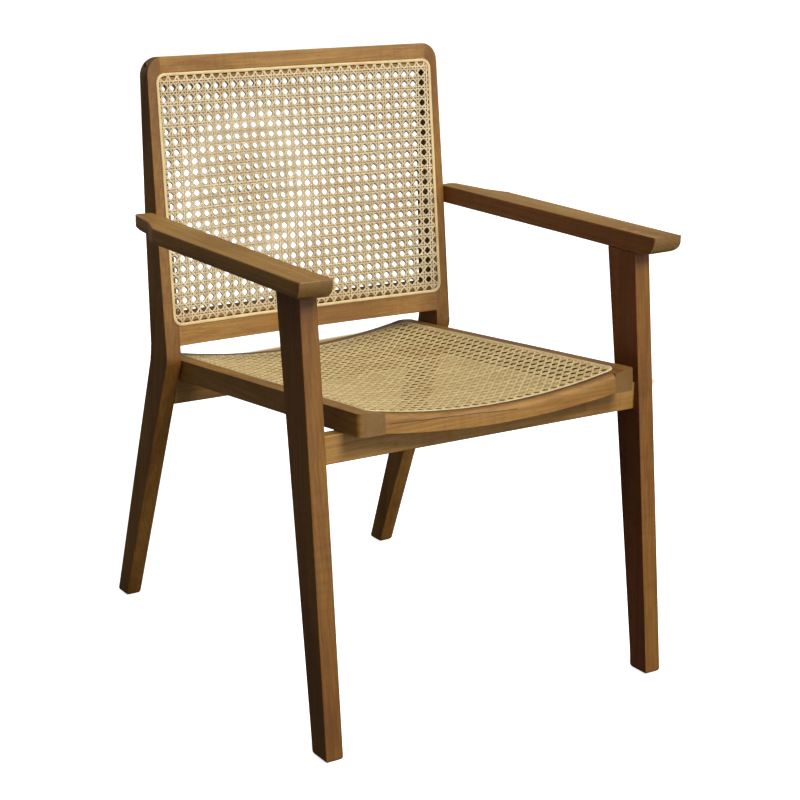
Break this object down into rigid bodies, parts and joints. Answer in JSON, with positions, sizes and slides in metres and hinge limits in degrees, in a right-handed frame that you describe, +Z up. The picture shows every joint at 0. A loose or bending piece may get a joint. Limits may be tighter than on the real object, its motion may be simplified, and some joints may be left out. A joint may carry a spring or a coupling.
{
  "type": "cane armchair",
  "caption": "Low wooden armchair with flat arms, raked legs, and a dished seat and a hollow back of cane webbing held by rattan splines.",
  "frame": {"origin": "on the floor under the middle of the chair, at the centre of the bottom of its bounding box", "axes": "+Z is up, the sitter faces -Y, and +X is the right-hand side of the chair as seen from the front; left and right in the names are as seen from the front"},
  "size_m": [0.567, 0.6535, 0.7999],
  "materials": {
    "frame_wood": "satin",
    "cane": "satin",
    "rattan_spline": "satin",
    "dowel_beech": "matt",
    "plug_wood": "satin",
    "screw_steel": "zinc plated"
  },
  "bodies": {
    "root": {"left_front_leg": "frame_wood", "right_front_leg": "frame_wood", "left_back_leg": "frame_wood", "right_back_leg": "frame_wood", "left_arm": "frame_wood", "right_arm": "frame_wood", "back_top_rail": "frame_wood", "back_bottom_rail": "frame_wood", "front_stretcher": "frame_wood", "rear_stretcher": "frame_wood", "seat_left_rail": "frame_wood", "seat_right_rail": "frame_wood", "seat_front_rail": "frame_wood", "seat_rear_rail": "frame_wood", "back_front_cane": "cane", "back_rear_cane": "cane", "seat_cane": "cane", "back_front_spline": "rattan_spline", "back_rear_spline": "rattan_spline", "seat_spline": "rattan_spline", "stretcher_dowels": "dowel_beech", "back_rail_dowels": "dowel_beech", "seat_frame_dowels": "dowel_beech", "arm_dowels": "dowel_beech", "arm_plugs": "plug_wood", "arm_screws": "screw_steel", "seat_screws": "screw_steel"}
  },
  "joints": []
}
